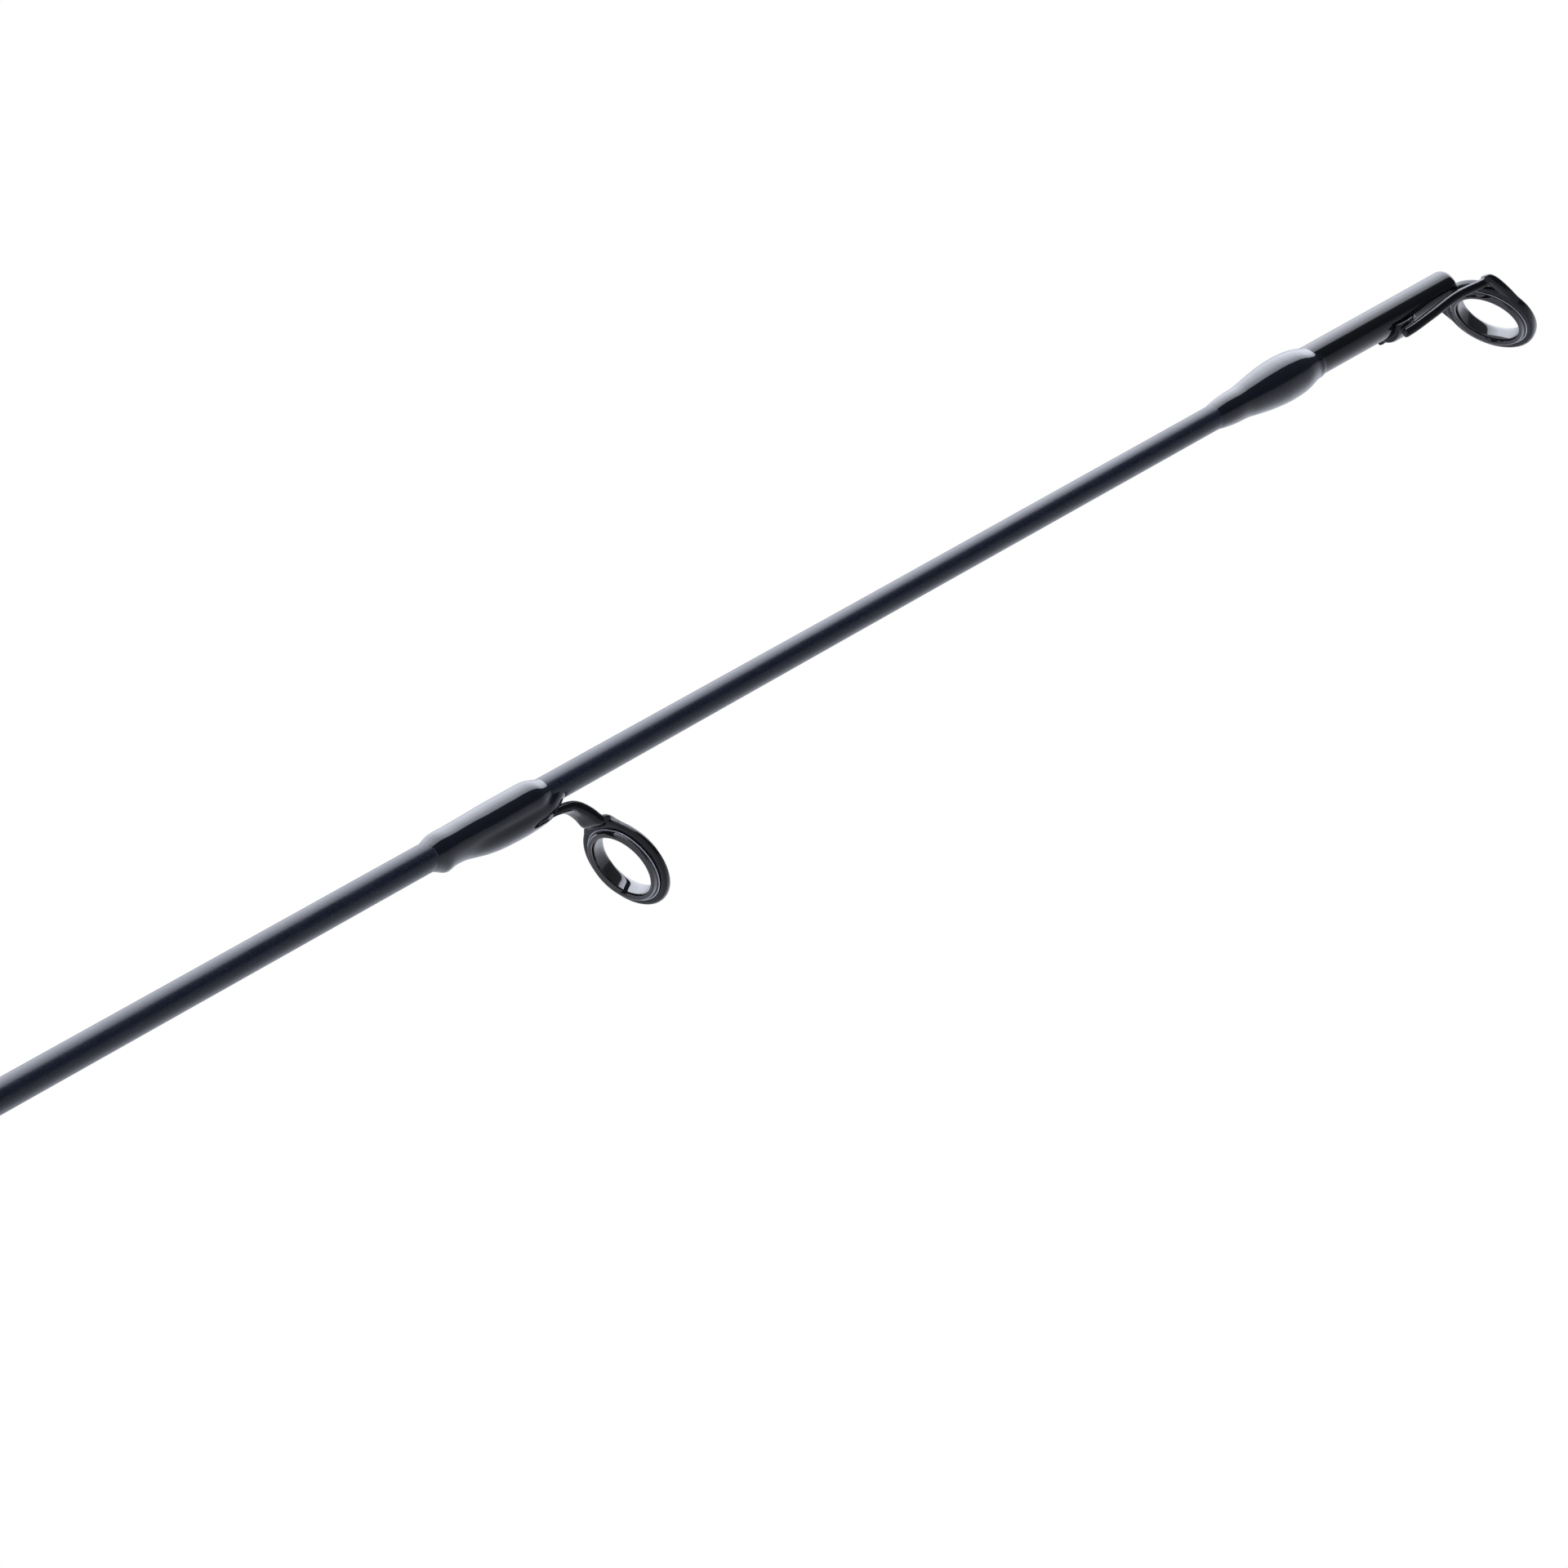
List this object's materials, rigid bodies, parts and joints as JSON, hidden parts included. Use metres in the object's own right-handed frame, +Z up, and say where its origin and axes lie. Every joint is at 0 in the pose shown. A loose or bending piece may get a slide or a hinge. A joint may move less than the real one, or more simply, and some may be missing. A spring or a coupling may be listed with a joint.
{
  "type": "fishing rod and reel",
  "caption": "Two-piece spinning rod standing on its butt, with ringed line guides, foam grips and a spinning reel with crank, bail and spool.",
  "frame": {"origin": "centre of the butt cap's flat end face", "axes": "+Z up the rod's axis to the tip; the guides and the reel hang towards -Y; the reel's handle is on +X"},
  "size_m": [0.1038, 0.1163, 1.6811],
  "materials": {
    "blank": "satin graphite blank",
    "thread_wrap": "black thread under clear epoxy",
    "black_steel": "gloss black coated steel",
    "ring_ceramic": "polished black ceramic",
    "cork_foam": "fine-grained EVA foam",
    "rubber": "moulded rubber",
    "graphite_resin": "graphite-filled resin",
    "anodised_trim": "dark anodised",
    "reel_paint": "gloss dark graphite paint",
    "steel": "plain steel",
    "bearing_steel": "ground steel",
    "gear_alloy": "die-cast zinc alloy",
    "brass": "machined brass",
    "chrome": "polished",
    "reel_trim": "satin gunmetal paint",
    "spool_alloy": "machined, dark anodised",
    "knob_foam": "soft-touch"
  },
  "bodies": {
    "root": {"butt_blank": "blank", "butt_cap": "rubber", "rear_grip": "cork_foam", "seat_body": "graphite_resin", "foregrip": "cork_foam", "winding_check": "anodised_trim", "hook_keeper": "black_steel", "keeper_wraps": "thread_wrap", "stripper_frame": "black_steel", "stripper_ring": "ring_ceramic", "stripper_wrap": "thread_wrap", "reel_body": "reel_paint", "side_cover": "reel_paint", "cover_screws": "steel", "drive_bearings": "bearing_steel", "pinion_bearing": "bearing_steel", "roller_clutch": "bearing_steel"},
    "tip_section": {"tip_blank": "blank", "ferrule_wrap": "thread_wrap", "tip_top_frame": "black_steel", "tip_top_tube": "black_steel", "tip_top_ring": "ring_ceramic", "tip_wrap": "thread_wrap", "guide_1_frame": "black_steel", "guide_1_ring": "ring_ceramic", "guide_1_wrap": "thread_wrap", "guide_2_frame": "black_steel", "guide_2_ring": "ring_ceramic", "guide_2_wrap": "thread_wrap", "guide_3_frame": "black_steel", "guide_3_ring": "ring_ceramic", "guide_3_wrap": "thread_wrap", "guide_4_frame": "black_steel", "guide_4_ring": "ring_ceramic", "guide_4_wrap": "thread_wrap"},
    "hood": {"sliding_hood": "graphite_resin"},
    "nut": {"lock_nut": "anodised_trim"},
    "crank": {"handle_arm": "reel_trim", "handle_cap": "anodised_trim", "knob_pin": "steel", "drive_gear": "gear_alloy"},
    "knob": {"handle_knob": "knob_foam"},
    "rotor": {"rotor": "reel_paint", "rotor_nut": "steel", "pinion": "brass", "pivot_screws": "steel", "bail_spring": "steel"},
    "bail": {"bail_wire": "chrome", "bail_arm": "reel_trim", "bail_lever": "reel_trim", "roller_screw": "steel"},
    "roller": {"line_roller": "chrome"},
    "oscillator": {"oscillation_gear": "gear_alloy"},
    "shaft": {"main_shaft": "steel", "oscillation_slider": "gear_alloy"},
    "spool": {"spool": "spool_alloy", "drag_washers": "steel"},
    "drag": {"drag_knob": "knob_foam"},
    "reverse_lever": {"anti_reverse_lever": "reel_trim"}
  },
  "joints": [
    {"name": "ferrule_slide", "type": "slide", "parent": "root", "child": "tip_section", "axis": [0, 0, 1], "range_m": [0, 0.06]},
    {"name": "hood_slide", "type": "slide", "parent": "root", "child": "hood", "axis": [0, 0, 1], "range_m": [0, 0.014]},
    {"name": "nut_turn", "type": "hinge", "parent": "hood", "child": "nut", "pos_m": [0, 0, 0.324], "axis": [0, 0, 1], "range_deg": [0, 2520]},
    {"name": "handle_crank", "type": "hinge", "parent": "root", "child": "crank", "pos_m": [0, -0.07, 0.255], "axis": [1, 0, 0], "continuous": true},
    {"name": "knob_spin", "type": "hinge", "parent": "crank", "child": "knob", "pos_m": [0.05, -0.07, 0.205], "axis": [1, 0, 0], "continuous": true},
    {"name": "rotor_spin", "type": "hinge", "parent": "root", "child": "rotor", "pos_m": [0, -0.062, 0.28], "axis": [0, 0, 1], "continuous": true},
    {"name": "bail_flip", "type": "hinge", "parent": "rotor", "child": "bail", "pos_m": [0, -0.062, 0.315], "axis": [-1, 0, 0], "range_deg": [0, 130]},
    {"name": "roller_spin", "type": "hinge", "parent": "bail", "child": "roller", "pos_m": [0, -0.07745, 0.31914], "axis": [1, 0, 0], "continuous": true},
    {"name": "oscillation_turn", "type": "hinge", "parent": "root", "child": "oscillator", "pos_m": [0.006, -0.0605, 0.2469], "axis": [1, 0, 0], "continuous": true},
    {"name": "shaft_slide", "type": "slide", "parent": "root", "child": "shaft", "axis": [0, 0, 1], "range_m": [-0.0045, 0.0045]},
    {"name": "spool_spin", "type": "hinge", "parent": "shaft", "child": "spool", "pos_m": [0, -0.062, 0.315], "axis": [0, 0, 1], "continuous": true},
    {"name": "drag_turn", "type": "hinge", "parent": "shaft", "child": "drag", "pos_m": [0, -0.062, 0.335], "axis": [0, 0, 1], "range_deg": [-360, 720]},
    {"name": "reverse_lever_turn", "type": "hinge", "parent": "root", "child": "reverse_lever", "pos_m": [0, -0.089, 0.262], "axis": [0, 1, 0], "range_deg": [0, 45]}
  ],
  "couplings": [
    {"joint": "hood_slide", "follows": "nut_turn", "m_per_rad": 0.00031831},
    {"joint": "rotor_spin", "follows": "handle_crank", "ratio": 5},
    {"joint": "oscillation_turn", "follows": "handle_crank", "ratio": -0.8}
  ]
}
